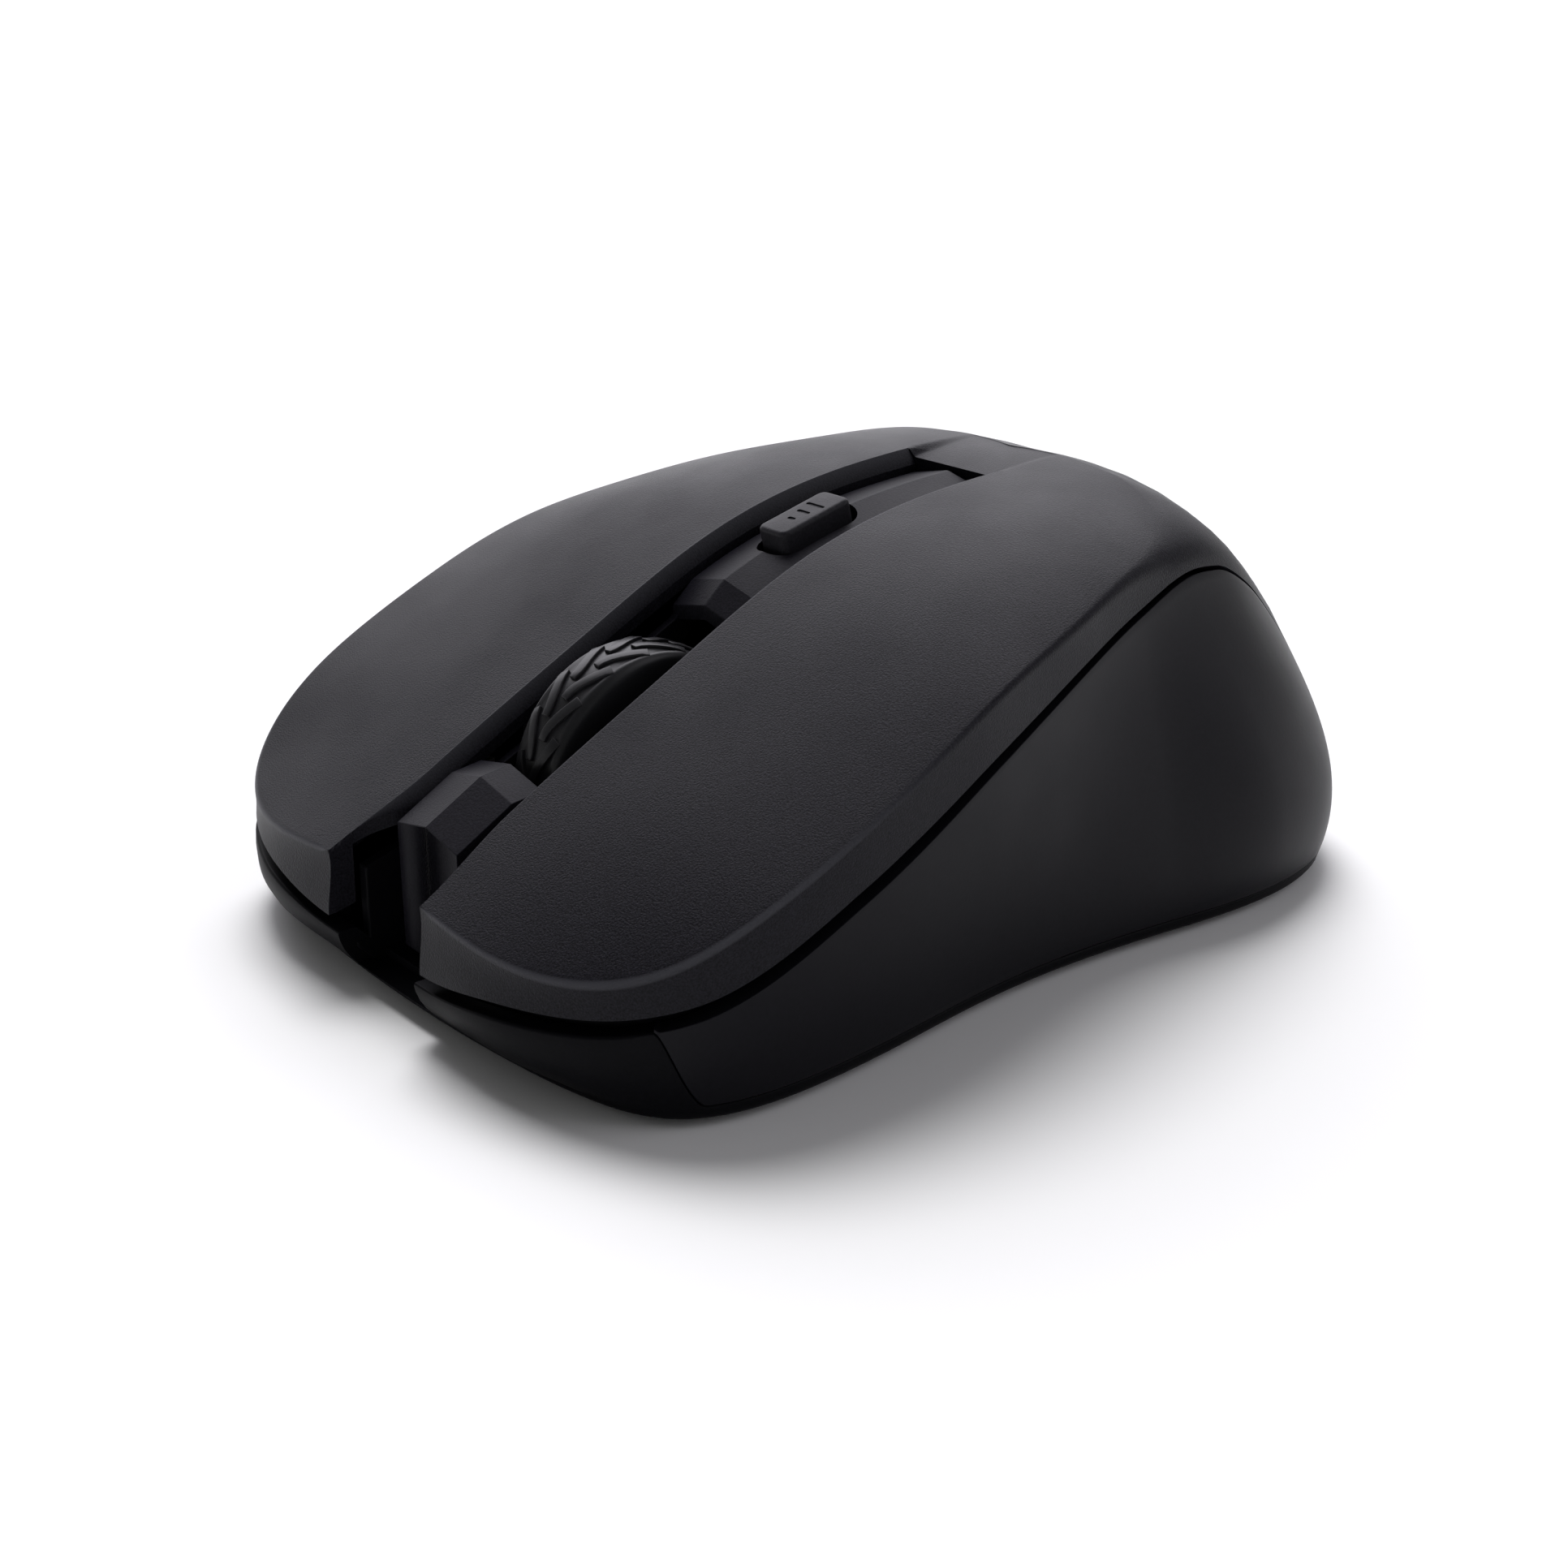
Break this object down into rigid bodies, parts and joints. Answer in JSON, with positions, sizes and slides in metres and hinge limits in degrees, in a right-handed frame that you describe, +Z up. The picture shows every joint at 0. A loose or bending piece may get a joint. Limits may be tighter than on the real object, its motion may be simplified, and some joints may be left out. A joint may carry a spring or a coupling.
{
  "type": "computer mouse",
  "caption": "Wireless optical mouse with hinged click buttons, a pressable scroll wheel in a sunken channel, a top key, waisted side grips, a battery bay and slide feet.",
  "frame": {"origin": "on the desk under the middle of the mouse", "axes": "+Z up from the desk, -Y towards the front with the buttons and wheel, +X towards the mouse's own left side, where a right hand's thumb lies"},
  "size_m": [0.0736, 0.0984, 0.0386],
  "materials": {
    "cover": "fine grain, matte charcoal",
    "panel": "satin charcoal",
    "base": "matte charcoal",
    "tread": "semi-matte black rubber",
    "frame": "moulded dark grey",
    "board": "green solder mask",
    "chip": "moulded black",
    "steel": "plated",
    "clear": "clear moulding",
    "lamp": "tinted clear",
    "slippery": "low-friction white",
    "cell": "wrapped battery can"
  },
  "bodies": {
    "chassis": {"base_shell": "base", "battery": "cell", "battery_plate": "steel", "battery_spring": "steel", "capacitor": "chip", "case_screw": "steel", "crystal": "steel", "dpi_board": "board", "dpi_switch": "chip", "front_foot": "slippery", "left_board_screw": "steel", "left_side_panel": "panel", "left_switch": "chip", "main_board": "board", "middle_switch": "chip", "optical_sensor": "chip", "palm_cover": "cover", "power_switch": "chip", "radio_chip": "chip", "rear_foot": "slippery", "receiver_body": "chip", "receiver_plug": "steel", "right_board_screw": "steel", "right_side_panel": "panel", "right_switch": "chip", "sensor_led": "lamp", "sensor_lens": "clear", "spine": "cover"},
    "left_button": {"left_button": "cover"},
    "right_button": {"right_button": "cover"},
    "left_plunger": {"left_plunger": "slippery"},
    "right_plunger": {"right_plunger": "slippery"},
    "wheel_cradle": {"wheel_cradle": "frame", "scroll_encoder": "board"},
    "scroll_wheel": {"wheel_tyre": "tread", "wheel_hub": "frame", "wheel_axle": "steel"},
    "middle_plunger": {"middle_plunger": "slippery"},
    "dpi_button": {"dpi_button": "cover"},
    "dpi_plunger": {"dpi_plunger": "slippery"},
    "power_slider": {"power_slider": "slippery"},
    "battery_door": {"battery_door": "base"}
  },
  "joints": [
    {"name": "left_click", "type": "hinge", "parent": "chassis", "child": "left_button", "pos_m": [0, 0.0183, 0.03645], "axis": [1, 0, 0], "range_deg": [0, 0.8], "stiffness_Nm_per_rad": 3.5, "springref_deg": -0.23},
    {"name": "left_switch_travel", "type": "slide", "parent": "chassis", "child": "left_plunger", "axis": [0, 0, -1], "range_m": [0, 0.0008]},
    {"name": "right_click", "type": "hinge", "parent": "chassis", "child": "right_button", "pos_m": [0, 0.0183, 0.03645], "axis": [1, 0, 0], "range_deg": [0, 0.8], "stiffness_Nm_per_rad": 3.5, "springref_deg": -0.23},
    {"name": "right_switch_travel", "type": "slide", "parent": "chassis", "child": "right_plunger", "axis": [0, 0, -1], "range_m": [0, 0.0008]},
    {"name": "wheel_click", "type": "hinge", "parent": "chassis", "child": "wheel_cradle", "pos_m": [0, -0.0075, 0.0105], "axis": [1, 0, 0], "range_deg": [0, 1.5], "stiffness_Nm_per_rad": 1.2, "springref_deg": -1.15},
    {"name": "wheel_spin", "type": "hinge", "parent": "wheel_cradle", "child": "scroll_wheel", "pos_m": [0, -0.0206, 0.0156], "axis": [1, 0, 0], "continuous": true},
    {"name": "middle_switch_travel", "type": "slide", "parent": "chassis", "child": "middle_plunger", "axis": [0, 0, -1], "range_m": [0, 0.0008]},
    {"name": "dpi_press", "type": "slide", "parent": "chassis", "child": "dpi_button", "axis": [0, 0.2502, -0.9682], "range_m": [0, 0.0005], "stiffness_N_per_m": 1500, "springref_m": -0.0003},
    {"name": "dpi_switch_travel", "type": "slide", "parent": "chassis", "child": "dpi_plunger", "axis": [0, 0.2502, -0.9682], "range_m": [0, 0.0005]},
    {"name": "power_slide", "type": "slide", "parent": "chassis", "child": "power_slider", "axis": [1, 0, 0], "range_m": [0, 0.003]},
    {"name": "door_swing", "type": "hinge", "parent": "chassis", "child": "battery_door", "pos_m": [0, 0.0109, 0.0008], "axis": [-1, 0, 0], "range_deg": [0, 75]}
  ],
  "couplings": [
    {"joint": "left_switch_travel", "follows": "left_click", "m_per_rad": 0.0458},
    {"joint": "right_switch_travel", "follows": "right_click", "m_per_rad": 0.0458},
    {"joint": "middle_switch_travel", "follows": "wheel_click", "m_per_rad": 0.0267},
    {"joint": "dpi_switch_travel", "follows": "dpi_press", "ratio": 1}
  ]
}
